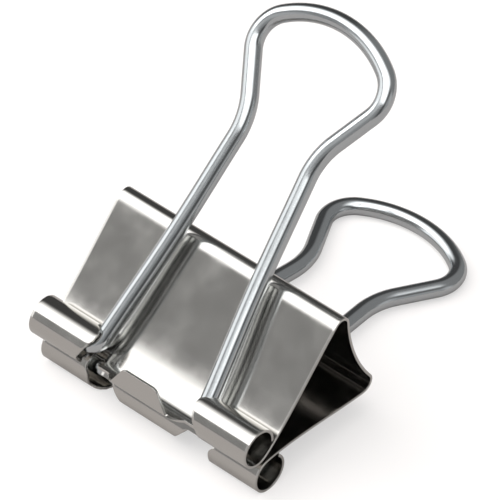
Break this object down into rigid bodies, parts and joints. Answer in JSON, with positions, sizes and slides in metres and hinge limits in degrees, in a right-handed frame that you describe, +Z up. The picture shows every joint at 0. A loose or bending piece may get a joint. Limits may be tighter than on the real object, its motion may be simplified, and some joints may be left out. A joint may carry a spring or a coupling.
{
  "type": "binder clip",
  "caption": "Medium binder clip: folded spring-steel body with rolled lip tubes and a tongue on each lip, and two wire loop handles folded back along the jaws.",
  "frame": {"origin": "on the table under the middle of the clip's outline, as it lies on its rear tubes and rear loop", "axes": "+Z up from the table, X along the clip's width, +Y from the mouth towards the handle loops"},
  "size_m": [0.032, 0.0502, 0.0412],
  "materials": {
    "nickel_plated_sheet": "bright nickel plate on rolled spring steel",
    "nickel_plated_wire": "nickel plate on drawn wire"
  },
  "bodies": {
    "spine": {"spine": "nickel_plated_sheet"},
    "front_jaw": {"front_jaw": "nickel_plated_sheet"},
    "rear_jaw": {"rear_jaw": "nickel_plated_sheet"},
    "front_handle": {"front_handle": "nickel_plated_wire"},
    "rear_handle": {"rear_handle": "nickel_plated_wire"}
  },
  "joints": [
    {"name": "front_jaw_flex", "type": "hinge", "parent": "spine", "child": "front_jaw", "pos_m": [0, -0.00963, 0.01649], "axis": [-1, 0, 0], "range_deg": [0, 20], "stiffness_Nm_per_rad": 0.5},
    {"name": "rear_jaw_flex", "type": "hinge", "parent": "spine", "child": "rear_jaw", "pos_m": [0, -0.00491, 0.00531], "axis": [1, 0, 0], "range_deg": [0, 20], "stiffness_Nm_per_rad": 0.5},
    {"name": "front_handle_swing", "type": "hinge", "parent": "front_jaw", "child": "front_handle", "pos_m": [0, -0.02267, 0.00728], "axis": [1, 0, 0], "range_deg": [0, 155]},
    {"name": "rear_handle_swing", "type": "hinge", "parent": "rear_jaw", "child": "rear_handle", "pos_m": [0, -0.02061, 0.0024], "axis": [-1, 0, 0], "range_deg": [0, 155]}
  ]
}
